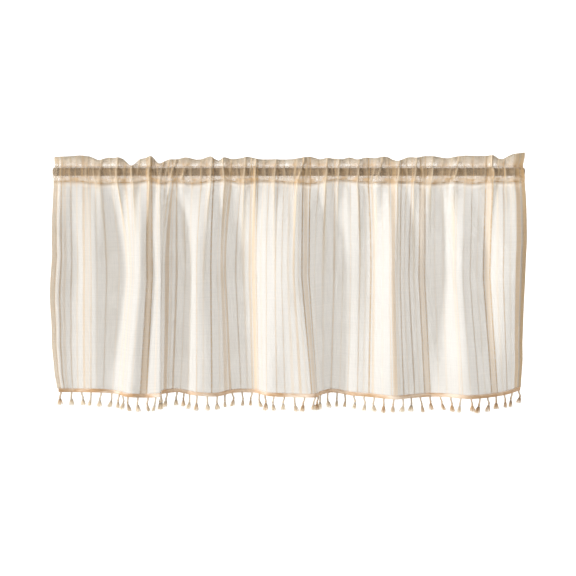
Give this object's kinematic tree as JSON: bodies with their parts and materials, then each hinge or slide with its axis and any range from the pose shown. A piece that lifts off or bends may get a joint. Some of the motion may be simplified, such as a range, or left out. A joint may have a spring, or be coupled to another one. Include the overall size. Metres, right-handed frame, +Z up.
{
  "type": "window valance on a rod",
  "caption": "Short sheer gathered panel with a frilled rod pocket, woven vertical stripes and a tasselled hem, hanging from a plain round rod.",
  "frame": {"origin": "centre of the rod's left end face, seen from the front", "axes": "+X along the rod to its right end, +Z up, the cloth's front faces -Y"},
  "size_m": [1.1565, 0.0887, 0.6291],
  "materials": {
    "rod": "satin bronze paint",
    "cloth": "sheer cream slub weave with tan and brown vertical stripes",
    "trim": "matt tan cotton tape, cords and tassels"
  },
  "bodies": {
    "root": {"rod": "rod", "panel": "cloth", "tassel_trim": "trim"}
  },
  "joints": []
}
